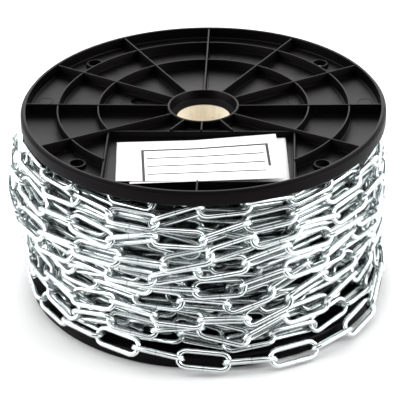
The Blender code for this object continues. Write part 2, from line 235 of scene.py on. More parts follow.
class Nodes:
    """Adds nodes to one material and links them by name."""

    def __init__(self, name):
        self.material = bpy.data.materials.new(name)
        self.material.use_nodes = True
        self.tree = self.material.node_tree
        self.shader = self.tree.nodes["Principled BSDF"]

    def add(self, kind, **values):
        node = self.tree.nodes.new(kind)
        for key, value in values.items():
            if key in node.inputs:
                node.inputs[key].default_value = value
            else:
                setattr(node, key, value)
        return node

    def link(self, source, target):
        self.tree.links.new(source, target)

    def set(self, **values):
        for key, value in values.items():
            self.shader.inputs[key.replace("_", " ")].default_value = value

    def coordinates(self, kind="Object", scale=(1.0, 1.0, 1.0)):
        source = self.add("ShaderNodeTexCoord")
        mapping = self.add("ShaderNodeMapping", Scale=scale)
        self.link(source.outputs[kind], mapping.inputs["Vector"])
        return mapping.outputs["Vector"]

    def noise(self, vector, scale, detail=4.0):
        node = self.add("ShaderNodeTexNoise", Scale=scale, Detail=detail, Roughness=0.55)
        self.link(vector, node.inputs["Vector"])
        return node.outputs["Fac"]

    def ramp(self, fac, stops):
        node = self.add("ShaderNodeValToRGB")
        set_stops(node, stops)
        self.link(fac, node.inputs["Fac"])
        return node.outputs["Color"]

    def range(self, fac, low, high, to_low, to_high):
        node = self.add("ShaderNodeMapRange")
        for key, value in (("From Min", low), ("From Max", high),
                           ("To Min", to_low), ("To Max", to_high)):
            node.inputs[key].default_value = value
        self.link(fac, node.inputs["Value"])
        return node.outputs["Result"]

    def math(self, operation, first, second=0.0):
        node = self.add("ShaderNodeMath", operation=operation)
        for socket, value in zip(node.inputs, (first, second)):
            if isinstance(value, (int, float)):
                socket.default_value = value
            else:
                self.link(value, socket)
        return node.outputs[0]

    def mix(self, fac, first, second):
        node = self.add("ShaderNodeMix", data_type="RGBA")
        self.link(fac, node.inputs[0])
        for socket, value in ((node.inputs[6], first), (node.inputs[7], second)):
            if isinstance(value, tuple):
                socket.default_value = (*value, 1.0)
            else:
                self.link(value, socket)
        return node.outputs[2]

    def bump(self, height, strength, distance):
        node = self.add("ShaderNodeBump", Strength=strength, Distance=distance)
        self.link(height, node.inputs["Height"])
        self.link(node.outputs["Normal"], self.shader.inputs["Normal"])


def black_plastic():
    """Injection-moulded black polypropylene: satin, finely grained, with dust specks."""
    n = Nodes("black_moulded_plastic")
    n.set(IOR=1.166, Specular_Tint=(1.0, 0.90, 0.945, 1.0))
    here = n.coordinates()
    grain = n.noise(here, 900.0, 3.0)
    flow = n.noise(here, 14.0, 5.0)
    dust = n.noise(here, 420.0, 1.0)
    base = n.mix(flow, (0.0008, 0.0006, 0.0007), (0.0020, 0.0017, 0.0018))
    specks = n.range(dust, 0.80, 0.84, 0.0, 0.30)
    n.link(n.mix(specks, base, (0.20, 0.19, 0.19)), n.shader.inputs["Base Color"])
    n.link(n.range(flow, 0.3, 0.7, 0.36, 0.46), n.shader.inputs["Roughness"])
    n.bump(grain, 0.12, 0.0002)
    return n.material


def zinc_wire(name, dark, light):
    """Bright zinc plating on drawn wire, with the butt weld as a thin dark line."""
    n = Nodes(name)
    n.set(Metallic=1.0)
    here = n.coordinates()
    cloud = n.noise(here, 60.0, 4.0)
    grain = n.noise(here, 700.0, 2.0)
    split = n.add("ShaderNodeSeparateXYZ")
    n.link(n.coordinates("UV"), split.inputs["Vector"])
    seam = n.math("ABSOLUTE", n.math("SUBTRACT", split.outputs["X"], 0.25))
    wobble = n.math("MULTIPLY", n.math("SUBTRACT", grain, 0.5), 0.004)
    line = n.range(n.math("ADD", seam, wobble), 0.0020, 0.0045, 0.7, 0.0)
    base = n.mix(cloud, dark, light)
    n.link(n.mix(line, base, (0.12, 0.12, 0.12)), n.shader.inputs["Base Color"])
    n.link(n.range(cloud, 0.35, 0.65, 0.14, 0.21), n.shader.inputs["Roughness"])
    n.bump(grain, 0.10, 0.0002)
    return n.material


def painted_shade_core_steel():
    """Dark, mottled steel of the turns that lie under the modelled links: the near-black colour is
    painted shade.
    """
    n = Nodes("shaded_chain_core")
    n.set(Metallic=0.9, Roughness=0.5)
    here = n.coordinates()
    stops = ((0.40, (0.010, 0.012, 0.012)), (0.62, (0.07, 0.078, 0.078)))
    n.link(n.ramp(n.noise(here, 90.0), stops), n.shader.inputs["Base Color"])
    n.bump(n.noise(here, 160.0), 0.6, 0.002)
    return n.material


def cardboard():
    """Pale tan wound board with fibres and dark specks."""
    n = Nodes("spiral_wound_cardboard")
    n.set(Roughness=0.88)
    here = n.coordinates()
    fibre = n.noise(n.coordinates("Object", (1.0, 1.0, 0.25)), 500.0, 5.0)
    cloud = n.noise(here, 70.0, 4.0)
    speck = n.noise(here, 650.0, 1.0)
    base = n.mix(cloud, (0.95, 0.855, 0.69), (0.99, 0.935, 0.79))
    fibres = n.mix(n.range(fibre, 0.35, 0.7, 0.0, 0.35), base, (0.78, 0.66, 0.48))
    dark = n.range(speck, 0.74, 0.78, 0.0, 0.7)
    n.link(n.mix(dark, fibres, (0.10, 0.07, 0.05)), n.shader.inputs["Base Color"])
    n.bump(fibre, 0.25, 0.0004)
    return n.material


def label_paper(name, frame_lines):
    """White paper; the front sheet has a plain printed frame with empty rows."""
    n = Nodes(name)
    n.set(Roughness=0.75)
    here = n.coordinates()
    fibre = n.noise(here, 800.0, 4.0)
    base = n.mix(fibre, (0.85, 0.85, 0.845), (0.89, 0.89, 0.885))
    uv = n.add("ShaderNodeTexCoord")
    split = n.add("ShaderNodeSeparateXYZ")
    n.link(uv.outputs["UV"], split.inputs["Vector"])
    x, y = split.outputs["X"], split.outputs["Y"]

    def within(value, low, high):
        over, under = n.math("GREATER_THAN", value, low), n.math("LESS_THAN", value, high)
        return n.math("MULTIPLY", over, under)

    ink = None
    for left, right, low, high in frame_lines:
        bar = n.math("MULTIPLY", within(x, left, right), within(y, low, high))
        ink = bar if ink is None else n.math("MAXIMUM", ink, bar)
    if ink is not None:
        base = n.mix(ink, base, (0.015, 0.015, 0.02))
    n.link(base, n.shader.inputs["Base Color"])
    n.bump(fibre, 0.08, 0.0001)
    return n.material


# Mesh helpers

def new_object(name, mesh, material, replaces):
    """Adds one visible piece: what it is made of and which CAD nodes it is shown for."""
    obj = scene_object(name, mesh)
    mesh.materials.append(material)
    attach(obj, "root")
    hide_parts(*replaces)


def round_profile(points, radii, steps=3):
    """Rounds chosen corners of a closed polygon; radii has one entry for each point."""
    out = []
    count = len(points)
    for index, (point, radius) in enumerate(zip(points, radii)):
        corner = Vector(point)
        if radius <= 0:
            out.append(tuple(corner))
            continue
        before = (Vector(points[index - 1]) - corner).normalized()
        after = (Vector(points[(index + 1) % count]) - corner).normalized()
        half = before.angle(after) / 2
        back = radius / math.tan(half)
        centre = corner + (before + after).normalized() * (radius / math.sin(half))
        start, end = corner + before * back - centre, corner + after * back - centre
        for step in range(steps + 1):
            mixed = start.lerp(end, step / steps)
            out.append(tuple(centre + mixed.normalized() * radius))
    return out


def revolved(bm, profile, segments, start=0.0, end=360.0, centre=(0.0, 0.0)):
    """Turns a closed (radius, height) profile about a vertical axis and caps an open span."""
    full = abs(end - start) >= 360.0
    columns = segments if full else segments + 1
    rings = []
    for column in range(columns):
        angle = math.radians(start + (end - start) * column / segments)
        c, s = math.cos(angle), math.sin(angle)
        rings.append([bm.verts.new((centre[0] + r * c, centre[1] + r * s, z)) for r, z in profile])
    count = len(profile)
    for column in range(segments):
        here, there = rings[column], rings[(column + 1) % columns]
        for k in range(count):
            m = (k + 1) % count
            bm.faces.new((here[k], here[m], there[m], there[k]))
    if not full:
        bm.faces.new(rings[0][::-1])
        bm.faces.new(rings[-1])


def finish_mesh(name, bm):
    """Turns millimetres into metres and makes a mesh with smooth faces and sharp edges."""
    bmesh.ops.scale(bm, vec=(MM, MM, MM), verts=bm.verts)
    mesh = bpy.data.meshes.new(name)
    bm.to_mesh(mesh)
    bm.free()
    mesh.shade_smooth()
    mesh.set_sharp_from_angle(angle=math.radians(SHARP_ANGLE))
    return mesh


def turned_mesh(name, profile, segments):
    bm = bmesh.new()
    revolved(bm, profile, segments)
    bmesh.ops.recalc_face_normals(bm, faces=bm.faces)
    return finish_mesh(name, bm)


def scene_object(name, mesh):
    obj = bpy.data.objects.new(name, mesh)
    bpy.context.scene.collection.objects.link(obj)
    return obj


def evaluated_mesh(obj):
    graph = bpy.context.evaluated_depsgraph_get()
    return bpy.data.meshes.new_from_object(obj.evaluated_get(graph))


# Flange moulding

def rib_top(radius):
    """Height of the ribs; they fall a little towards the hub."""
    share = (radius - HUB_OUTER) / (BEAD_INNER - HUB_OUTER)
    return RIB_TOP_AT_HUB + share * (RIB_TOP_AT_RIM - RIB_TOP_AT_HUB)


def flange_body_profile():
    """Section of web, rim, collar and hub: corner and rounding, anticlockwise from the bead."""
    corners = [
        ((BEAD_INNER + DRAFT, FLANGE_HEIGHT), 0.35),
        ((BEAD_OUTER, FLANGE_HEIGHT), 0.45),
        ((BEAD_OUTER, FLANGE_HEIGHT - BEAD_STEP), 0.3),
        ((FLANGE_RADIUS, FLANGE_HEIGHT - BEAD_STEP), 0.45),
        ((FLANGE_RADIUS, SKIRT_FOOT), 0.3),
        ((FLANGE_RADIUS - 0.6, 0.0), 0.2),
        ((COLLAR_OUTER, 0.0), 0.0),
        ((COLLAR_OUTER, -COLLAR_DEPTH), 0.3),
        ((COLLAR_INNER, -COLLAR_DEPTH), 0.3),
        ((COLLAR_INNER, 0.0), 0.0),
        ((BORE_RADIUS, 0.0), 0.15),
        ((BORE_RADIUS, 0.6), 0.15),
        ((LEDGE_RADIUS, LEDGE_HEIGHT), 0.9),
        ((HUB_INNER, RIB_TOP_AT_HUB), 0.5),
        ((HUB_OUTER - DRAFT, RIB_TOP_AT_HUB), 0.5),
        ((HUB_OUTER, WEB), 0.8),
        ((BEAD_INNER, WEB), 0.8),
    ]
    return round_profile([point for point, _ in corners], [radius for _, radius in corners])


def wall_section(top):
    """Section of a moulded wall: filleted foot in the web, slight draft and rounded top."""
    half_foot, half_top = WALL / 2 + WALL_DRAFT, WALL / 2 - WALL_DRAFT
    edge, root = half_foot + WALL_FOOT, WEB - WALL_ROOT
    points = [(-edge, root), (-edge, WEB), (-half_foot, WEB), (-half_top, top),
              (half_top, top), (half_foot, WEB), (edge, WEB), (edge, root)]
    return round_profile(points, [0, 0, 0.7, 0.3, 0.3, 0.7, 0, 0], 2)


def straight_wall(bm, start, end, top_start, top_end):
    """A wall with the moulded section between two (x, y) points, sloping between two heights."""
    start, end = Vector((*start, 0.0)), Vector((*end, 0.0))
    along = (end - start).normalized()
    across = Vector((-along.y, along.x, 0.0))
    loops = []
    for place, top in ((start, top_start), (end, top_end)):
        loops.append([bm.verts.new(place + across * x + Vector((0.0, 0.0, z)))
                      for x, z in wall_section(top)])
    near, far = loops
    for k in range(len(near)):
        m = (k + 1) % len(near)
        bm.faces.new((near[k], near[m], far[m], far[k]))
    bm.faces.new(near[::-1])
    bm.faces.new(far)


def at_angle(radius, degrees):
    return (radius * math.cos(math.radians(degrees)), radius * math.sin(math.radians(degrees)))


def flange_walls(bm):
    """Ribs, walls of the label pocket, and the two ring walls that stop at the pocket."""
    inside_hub = (HUB_INNER + HUB_OUTER) / 2
    inside_bead = (BEAD_INNER + BEAD_OUTER) / 2
    hub_top, bead_top = rib_top(inside_hub), rib_top(inside_bead)
    for index in range(RIB_COUNT):
        degrees = 360.0 / RIB_COUNT * index - 180.0
        end = inside_bead
        if -150.0 < degrees < -30.0:
            end = POCKET_BACK / math.sin(math.radians(degrees))
        straight_wall(bm, at_angle(inside_hub, degrees), at_angle(end, degrees),
                      hub_top, rib_top(end))
    straight_wall(bm, (0.0, POCKET_FRONT), (0.0, -inside_bead), rib_top(-POCKET_FRONT), bead_top)
    side = POCKET_HALF_WIDTH
    front_end = math.sqrt(inside_bead ** 2 - POCKET_FRONT ** 2)
    side_end = -math.sqrt(inside_bead ** 2 - side ** 2)
    straight_wall(bm, (-side, POCKET_BACK), (side, POCKET_BACK), POCKET_BACK_TOP, POCKET_BACK_TOP)
    straight_wall(bm, (-front_end, POCKET_FRONT), (front_end, POCKET_FRONT), POCKET_TOP, POCKET_TOP)
    for x in (-side, side):
        straight_wall(bm, (x, POCKET_BACK), (x, side_end), POCKET_BACK_TOP, POCKET_TOP)
    for radius in RING_RADII:
        corner_y = -POCKET_BACK if radius < BETWEEN_RINGS else math.sqrt(radius ** 2 - side ** 2)
        open_at = math.degrees(math.asin(corner_y / radius))
        section = [(radius + x, z) for x, z in wall_section(rib_top(radius) - RING_BELOW_RIBS)]
        revolved(bm, section, FLANGE_SEGMENTS, -open_at, 180.0 + open_at)


def small_features(bm):
    """Raised rings round the four holes and the shallow marks of the ejector pins."""
    root = WEB - BOSS_ROOT
    ring = round_profile([(BOSS_HOLE, root), (BOSS_HOLE, BOSS_TOP), (BOSS_RADIUS, BOSS_TOP),
                          (BOSS_RADIUS + DRAFT, root)], [0, 0.25, 0.35, 0], 2)
    for degrees in BOSS_ANGLES:
        revolved(bm, ring, ROUND_SEGMENTS, centre=at_angle(BOSS_CIRCLE, degrees))
    for radius, degrees, size in PIN_MARKS:
        lip = [(size + x, WEB + z) for x, z in PIN_LIP]
        revolved(bm, lip, ROUND_SEGMENTS, centre=at_angle(radius, degrees))


def helper_object(name, bm):
    """An object in millimetres, which is removed again once its shape has been used."""
    mesh = bpy.data.meshes.new(name)
    bm.to_mesh(mesh)
    bm.free()
    return scene_object(name, mesh)


def hole_cutters():
    bm = bmesh.new()
    places = [(at_angle(BOSS_CIRCLE, a), BOSS_HOLE) for a in BOSS_ANGLES]
    places.append((at_angle(PLAIN_HOLE[0], PLAIN_HOLE[1]), PLAIN_HOLE[2]))
    for (x, y), radius in places:
        bmesh.ops.create_cone(bm, cap_ends=True, segments=ROUND_SEGMENTS, radius1=radius,
                              radius2=radius, depth=6.0, matrix=Matrix.Translation((x, y, 1.0)))
    return helper_object("hole_cutters", bm)


def flange_bmesh():
    """The whole moulding, lying as the upper flange does, with its inner face at height 0."""
    body = bmesh.new()
    revolved(body, flange_body_profile(), FLANGE_SEGMENTS)
    bmesh.ops.recalc_face_normals(body, faces=body.faces)
    holder = helper_object("flange_body", body)
    cutter = hole_cutters()
    cut = holder.modifiers.new("Holes", "BOOLEAN")
    cut.operation = "DIFFERENCE"
    cut.solver = "EXACT"
    cut.object = cutter
    drilled = evaluated_mesh(holder)
    bm = bmesh.new()
    flange_walls(bm)
    small_features(bm)
    bmesh.ops.recalc_face_normals(bm, faces=bm.faces)
    bm.from_mesh(drilled)
    bpy.data.objects.remove(cutter)
    bpy.data.objects.remove(holder)
    return bm


def flanges(plastic):
    """Both flanges; the lower one is the same moulding turned over."""
    places = (("top_flange", 0.0, WINDING_HIGH), ("bottom_flange", 180.0, WINDING_LOW))
    for name, turn, height in places:
        bm = flange_bmesh()
        place = Matrix.Translation((0, 0, height)) @ Matrix.Rotation(math.radians(turn), 4, "X")
        bmesh.ops.transform(bm, matrix=place, verts=bm.verts)
        piece = name + "_moulding"
        new_object(piece, finish_mesh(piece, bm), plastic, [name])


def tube(board):
    top, bottom = WINDING_HIGH - TUBE_END_GAP, WINDING_LOW + TUBE_END_GAP
    corners = [(TUBE_INNER, top), (TUBE_OUTER, top), (TUBE_OUTER, bottom), (TUBE_INNER, bottom)]
    profile = round_profile(corners, [0.3, 0.3, 0.3, 0.3], 2)
    mesh = turned_mesh("cardboard_tube", profile, CORE_SEGMENTS)
    new_object("cardboard_tube", mesh, board, ["core_tube"])


# Chain layout

def outer_radius(theta, height):
    """Outside of the winding; it bulges most on the left, seen from the front."""
    turn_heights = np.linspace(FIRST_TURN, LAST_TURN, TURNS)
    left = np.interp(height, turn_heights, LEFT_RADII)
    right = np.interp(height, turn_heights, RIGHT_RADII)
    return (left + right) / 2 + (right - left) / 2 * np.cos(theta)


def slow_noise(rng, angle, waves):
    """A sum of sine waves of random size, pace and phase."""
    total = np.zeros_like(angle)
    for _ in range(waves):
        size, pace = rng.uniform(0.4, 1.0), rng.uniform(0.35, 3.2)
        total += size * np.sin(angle * pace + rng.uniform(0.0, math.tau))
    return total / math.sqrt(waves)


def smooth_step(value, low, high):
    """Rises from 0 at low to 1 at high."""
    share = np.clip((value - low) / (high - low), 0.0, 1.0)
    return share * share * (3.0 - 2.0 * share)


def winding_path(rng):
    """Close points along the chain's middle line, their depth in layers and their strand angle.

    The strand angle is the angle about the axis in the turn that hangs low; before and after
    that turn it runs on past full turns.
    """
    angle = np.arange(0.0, LAYERS * TURNS * 360.0 - LAST_TURN_SHORT, PATH_STEP)
    turn = np.floor(angle / 360.0)
    part = angle - turn * 360.0
    layer, row = np.divmod(turn, TURNS)
    outermost = layer == LAYERS - 1
    last_row = row == TURNS - 1
    step = smooth_step(part, 360.0 - CROSSOVER_WIDTH, 360.0)
    rise = np.where(last_row, row, row + step)
    rise = np.where(layer % 2 == 0, rise, TURNS - 1 - rise)
    inner_turns = (LAYERS - 1) * TURNS
    outer_rise = np.zeros_like(angle)
    for turns in range(1, TURNS):
        lateness = max(0.0, 1.0 - (turns - 1) / LATE_TURNS)
        late = 360.0 * (inner_turns + turns) + LATEST_CROSSOVER * lateness
        outer_rise += smooth_step(angle, late - CROSSOVER_WIDTH, late)
    rise = np.where(outermost, outer_rise, rise)
    outward = np.where(layer == LAYERS - 2, smooth_step(part, *OUTWARD_STEP), step)
    depth = (LAYERS - 1 - layer) - np.where(last_row & ~outermost, outward, 0.0)
    swing = np.radians(angle)
    height = FIRST_TURN + (LAST_TURN - FIRST_TURN) * rise / (TURNS - 1)
    height += HEIGHT_UNREST * slow_noise(rng, swing, 7)
    height = np.clip(height, FIRST_TURN - 0.3, LAST_TURN + 0.3)
    theta = swing + math.radians(CROSSOVER_END)
    reach = WIRE_RADIUS + HALF_WIDE * math.sqrt(0.5)
    radius = outer_radius(theta, height) - reach - LAYER_STEP * depth
    radius += RADIUS_UNREST * slow_noise(rng, swing * 1.3, 6)
    strand_angle = angle - (inner_turns + 1) * 360.0 + CROSSOVER_END
    low = (strand_angle > LOW_STRAND[0][0]) & (strand_angle < LOW_STRAND[-1][0])
    keys = np.array(LOW_STRAND).T
    radius[low] = np.interp(strand_angle[low], keys[0], keys[1])
    height[low] = np.interp(strand_angle[low], keys[0], keys[2])
    path = np.stack([radius * np.cos(theta), radius * np.sin(theta), height], axis=1)
    return path, depth, strand_angle


def walk(path, start, direction):
    """Indices and points one pitch apart along the path, from a start point."""
    places, points, here = [], [], path[start]
    index, reach = start, 150
    while True:
        if direction > 0:
            ahead = path[index:index + reach]
        else:
            ahead = path[max(index - reach, 0):index + 1][::-1]
        far = np.linalg.norm(ahead - here, axis=1)
        hits = np.nonzero(far >= PITCH)[0]
        if len(hits) == 0:
            return places, points
        step = hits[0]
        over = (PITCH - far[step - 1]) / (far[step] - far[step - 1])
        here = ahead[step - 1] + (ahead[step] - ahead[step - 1]) * over
        index += direction * step
        places.append(index)
        points.append(here)


def winding_joints(rng):
    """Where each link hooks into the next.

    Gives the points, their depth in layers, their strand angle, and the parity of the link that
    starts in the low strand's hook.
    """
    path, depth, strand_angle = winding_path(rng)
    start = int(np.argmin(np.abs(strand_angle - STRAND_HOOK)))
    back_places, back = walk(path, start, -1)
    on_places, on = walk(path, start, 1)
    places = back_places[::-1] + [start] + on_places
    points = back[::-1] + [path[start]] + on
    return np.array(points), depth[places], strand_angle[places], len(back) % 2


def link_rolls(rng, strand_angle, parity, held):
    """Links roll to either side in turn; in the low strand each has its own roll."""
    order = np.arange(len(strand_angle) - 1)
    roll = np.where(order % 2 == parity, ROLL, -ROLL)
    unrest = ROLL_SWAY * slow_noise(rng, order * 0.4, 5)
    unrest = unrest + ROLL_SCATTER * rng.standard_normal(len(order))
    keys = np.array(LOW_STRAND)
    hook = np.abs(strand_angle[:-1, None] - keys[None, :, 0]).argmin(1)
    return np.radians(np.where(held, keys[hook, 3], roll + unrest))


def link_frames(joints, roll):
    """Centre, axis and the two cross directions of each link."""
    first, second = joints[:-1], joints[1:]
    centre = (first + second) / 2
    axis = second - first
    axis /= np.linalg.norm(axis, axis=1, keepdims=True)
    outward = centre * (1.0, 1.0, 0.0)
    outward /= np.linalg.norm(outward, axis=1, keepdims=True)
    outward -= (outward * axis).sum(1, keepdims=True) * axis
    outward /= np.linalg.norm(outward, axis=1, keepdims=True)
    upward = np.cross(axis, outward)
    upward *= np.sign(upward[:, 2:3])
    c, s = np.cos(roll)[:, None], np.sin(roll)[:, None]
    return centre, axis, outward * c + upward * s, upward * c - outward * s


def link_outline(per_side, per_end):
    """(along, across) of points round a link's middle line, and the outward normal at each."""
    straight = HALF_LONG - HALF_WIDE
    centre, normal = [], []
    for side in (1, -1):
        for a in np.linspace(-straight, straight, per_side):
            centre.append((side * a, side * HALF_WIDE))
            normal.append((0.0, side))
        for k in range(1, per_end + 1):
            t = math.pi / 2 - math.pi * k / (per_end + 1)
            c, s = math.cos(t), math.sin(t)
            centre.append((side * (straight + HALF_WIDE * c), side * HALF_WIDE * s))
            normal.append((side * c, side * s))
    return np.array(centre), np.array(normal)


def near_pairs(points, link, reach):
    """Pairs of balls closer than reach, on links that don't hook into each other."""
    cell = np.floor(points / reach).astype(np.int64)
    cell -= cell.min(0)
    size = cell.max(0) + 3
    key = (cell[:, 0] * size[1] + cell[:, 1]) * size[2] + cell[:, 2]
    order = np.argsort(key, kind="stable")
    sorted_key = key[order]
    found = []
    near = (-1, 0, 1)
    steps = [(dx * size[1] + dy) * size[2] + dz for dx in near for dy in near for dz in near]
    for step in [s for s in steps if s >= 0]:
        low = np.searchsorted(sorted_key, key + step, "left")
        high = np.searchsorted(sorted_key, key + step, "right")
        for k in range(int((high - low).max(initial=0))):
            mine = np.nonzero(low + k < high)[0]
            other = order[low[mine] + k]
            keep = np.abs(link[mine] - link[other]) > 1
            if step == 0:
                keep &= other > mine
            found.append(np.stack([mine[keep], other[keep]], axis=1))
    pairs = np.concatenate(found)
    return pairs[np.linalg.norm(points[pairs[:, 0]] - points[pairs[:, 1]], axis=1) < reach]


def settle(joints, depths, roll, held):
    """Relaxes the laid chain, whose wires are taken as rows of balls.

    Each round pushes touching links apart, keeps every link between the flanges and outside the
    core, draws the joints inwards that aren't held, and sets the pitch again.
    """
    places, _ = link_outline(BALLS_PER_SIDE, BALLS_PER_END)
    links, balls = len(joints) - 1, len(places)
    link_of = np.repeat(np.arange(links), balls)
    share = np.tile(0.5 + places[:, 0] / PITCH, links)
    across = np.tile(places[:, 1], links)
    link_depth = (depths[:-1] + depths[1:]) / 2
    freedom = np.interp(link_depth, range(LAYERS), LAYER_FREEDOM)
    wanted, route = roll.copy(), joints.copy()
    parity = [np.arange(k, links, 2) for k in (0, 1)]

    def ball_points():
        centre, axis, wide, thin = link_frames(joints, roll)
        along, across_wire = places[:, 0, None] * axis[:, None], places[:, 1, None] * wide[:, None]
        return centre[:, None] + along + across_wire, thin

    for step in range(RELAX_ROUNDS):
        points, thin = ball_points()
        points = points.reshape(-1, 3)
        if step % SEARCH_EVERY == 0:
            pairs = near_pairs(points, link_of, NEARBY)
        gap = points[pairs[:, 0]] - points[pairs[:, 1]]
        far = np.linalg.norm(gap, axis=1)
        hit = far < CONTACT
        one, two = pairs[hit, 0], pairs[hit, 1]
        apart = gap[hit] / np.maximum(far[hit], 1e-6)[:, None]
        push = apart * (CONTACT - far[hit])[:, None]
        lightness = freedom[link_of[one]] / (freedom[link_of[one]] + freedom[link_of[two]])
        move, weight = np.zeros_like(joints), np.zeros(len(joints))
        turn, turns = np.zeros(links), np.zeros(links)
        for ball, part in ((one, push * lightness[:, None]),
                           (two, -push * (1 - lightness)[:, None])):
            link = link_of[ball]
            np.add.at(move, link, part * (1 - share[ball])[:, None])
            np.add.at(move, link + 1, part * share[ball][:, None])
            np.add.at(weight, link, np.abs(1 - share[ball]))
            np.add.at(weight, link + 1, np.abs(share[ball]))
            np.add.at(turn, link, (part * thin[link]).sum(1) * across[ball] / TURN_ARM)
            np.add.at(turns, link, 1.0)
        joints += PUSH_SHARE * move / np.maximum(weight, 1.0)[:, None]
        roll += TURN_SHARE * turn / np.maximum(turns, 1.0)
        roll += np.where(held[:-1], HELD_SHARE, ROLL_SHARE) * (wanted - roll)
        joints[held] += HELD_SHARE * (route[held] - joints[held])

        points, _ = ball_points()
        low = np.clip(np.add(SPACE_LOW, WIRE_RADIUS) - points.min(1), 0, None)
        ball_radius = np.linalg.norm(points[..., :2], axis=2)
        over_rim = RIM_REACH - ball_radius
        sunk = WINDING_LOW + WIRE_RADIUS + CLEARANCE - points[..., 2]
        low[:, 2] = np.maximum(low[:, 2], np.where(over_rim > sunk, sunk, 0.0).max(1))
        beside = np.where((over_rim > 0) & (sunk > over_rim), over_rim, 0.0).max(1)
        high = np.clip(points.max(1) - np.subtract(SPACE_HIGH, WIRE_RADIUS), 0, None)
        inner = np.clip(CORE_RADIUS + WIRE_RADIUS - ball_radius.min(1), 0, None) + beside
        outward = (joints[:-1] + joints[1:])[:, :2]
        outward /= np.linalg.norm(outward, axis=1, keepdims=True)
        for shift in (0, 1):
            joints[shift:links + shift] += (low - high) / 2
            joints[shift:links + shift, :2] += outward * inner[:, None] / 2
        radius = np.linalg.norm(joints[:, :2], axis=1)
        theta = np.arctan2(joints[:, 1], joints[:, 0])
        most = outer_radius(theta, joints[:, 2]) - WIRE_RADIUS - JOINT_DEPTH
        drawing = step < RELAX_ROUNDS - STILL_ROUNDS
        inwards = np.where(depths < 0.5, OUTER_DRAW, INNER_DRAW) * drawing
        pull = (inwards + FACE_SHARE * np.clip(radius - most, 0, None)) * ~held
        joints[:, :2] *= (1 - pull / radius)[:, None]
        for _ in range(PITCH_ROUNDS):
            for odd in parity:
                along = joints[odd + 1] - joints[odd]
                length = np.linalg.norm(along, axis=1)
                fix = along * ((length - PITCH) / length / 2)[:, None]
                joints[odd] += fix
                joints[odd + 1] -= fix
    return joints, roll


# Chain mesh

def link_template(per_side, per_end, around):
    """One link as rings of points round its wire, with its faces and the u and v of their corners.

    u runs along the wire, once round the link, and the weld lies at a quarter of it, in the middle
    of the first side. v runs round the wire.
    """
    centre, normal = link_outline(per_side, per_end)
    step = np.linalg.norm(centre - np.roll(centre, 1, axis=0), axis=1)
    run = np.cumsum(step) - step[0]
    whole = run[-1] + step[0]
    u = (run / whole + 0.25 - run[per_side - 1] / 2 / whole) % 1.0
    spin = np.arange(around) * math.tau / around
    rings = len(centre)
    along = centre[:, None, 0] + WIRE_RADIUS * np.cos(spin) * normal[:, None, 0]
    across = centre[:, None, 1] + WIRE_RADIUS * np.cos(spin) * normal[:, None, 1]
    thin = np.broadcast_to(WIRE_RADIUS * np.sin(spin), (rings, around))
    k, m = np.meshgrid(np.arange(rings), np.arange(around), indexing="ij")
    here, ahead, beside = k * around, (k + 1) % rings * around, (m + 1) % around
    faces = np.stack([here + m, ahead + m, ahead + beside, here + beside], axis=-1)
    u_ahead = u[k] + (np.roll(u, -1)[k] - u[k]) % 1.0
    face_u = np.stack([u[k], u_ahead, u_ahead, u[k]], axis=-1)
    face_v = np.stack([m, m, m + 1, m + 1], axis=-1) / around
    points = (along.ravel(), across.ravel(), thin.ravel())
    return points, faces.reshape(-1, 4), face_u.reshape(-1, 4), face_v.reshape(-1, 4)


def chain_mesh(name, joints, roll, which, per_side, per_end, around):
    """The chosen links as one mesh; faces are turned round on links whose frame is left-handed."""
    (along, across, thin), faces, face_u, face_v = link_template(per_side, per_end, around)
    centre, axis, wide, flat = (part[which] for part in link_frames(joints, roll))
    points = (centre[:, None] + along[:, None] * axis[:, None] + across[:, None] * wide[:, None]
              + thin[:, None] * flat[:, None])
    handed = (np.cross(axis, wide) * flat).sum(1) < 0
    corners, u, v = (np.broadcast_to(part, (len(which), *faces.shape)).copy()
                     for part in (faces, face_u, face_v))
    for part in (corners, u, v):
        part[handed] = part[handed][:, :, ::-1]
    corners += (np.arange(len(which)) * len(along))[:, None, None]
    mesh = bpy.data.meshes.new(name)
    mesh.from_pydata(points.reshape(-1, 3) * MM, [], corners.reshape(-1, 4))
    layer = mesh.uv_layers.new(name="wire")
    layer.data.foreach_set("uv", np.stack([u, v], axis=-1).astype(np.float32).ravel())
    mesh.shade_smooth()
    return mesh


def chain():
    """Lays the whole visible chain and adds it as one piece for each layer."""
    rng = np.random.default_rng(SEED)
    joints, depths, strand_angle, parity = winding_joints(rng)
    held = (strand_angle > LOW_STRAND[0][0]) & (strand_angle < LOW_STRAND[-2][0])
    roll = link_rolls(rng, strand_angle, parity, held[:-1])
    joints, roll = settle(joints, depths, roll, held)
    depth = (depths[:-1] + depths[1:]) / 2
    # One zinc for every layer; the second and third layers get darker copies of it as painted shade
    # for lying deeper in the winding.
    bright = zinc_wire("zinc_plated_wire", (0.63, 0.67, 0.67), (0.77, 0.81, 0.81))
    shaded = zinc_wire("shaded_zinc_wire", (0.44, 0.48, 0.48), (0.58, 0.62, 0.62))
    deep_painted_shade = zinc_wire("painted_shade_deep_zinc_wire", (0.20, 0.225, 0.225), (0.30, 0.325, 0.325))
    outer, third = depth < 0.5, depth >= 1.5
    second = ~outer & ~third
    pieces = (
        ("chain_outer_turns_links", outer, (5, 5, 12), bright, ["chain_outer_turns"]),
        ("chain_second_layer_links", second, (5, 5, 10), shaded, ["chain_inner_turns"]),
        ("chain_third_layer_links", third, (2, 5, 8), deep_painted_shade, ["chain_inner_turns"]),
    )
    for name, chosen, detail, zinc, replaced in pieces:
        mesh = chain_mesh(name, joints, roll, np.nonzero(chosen)[0], *detail)
        new_object(name, mesh, zinc, replaced)


def chain_core(steel):
    """The hidden inner turns, seen only as darkness between the outer links."""
    top, bottom = WINDING_HIGH - CORE_END_GAP, WINDING_LOW + CORE_END_GAP
    outer = CORE_RADIUS - CORE_SET_BACK
    profile = [(CORE_BORE, top), (outer, top), (outer, bottom), (CORE_BORE, bottom)]
    mesh = turned_mesh("chain_inner_winding", profile, CORE_SEGMENTS)
    new_object("chain_inner_winding", mesh, steel, ["chain_inner_turns"])


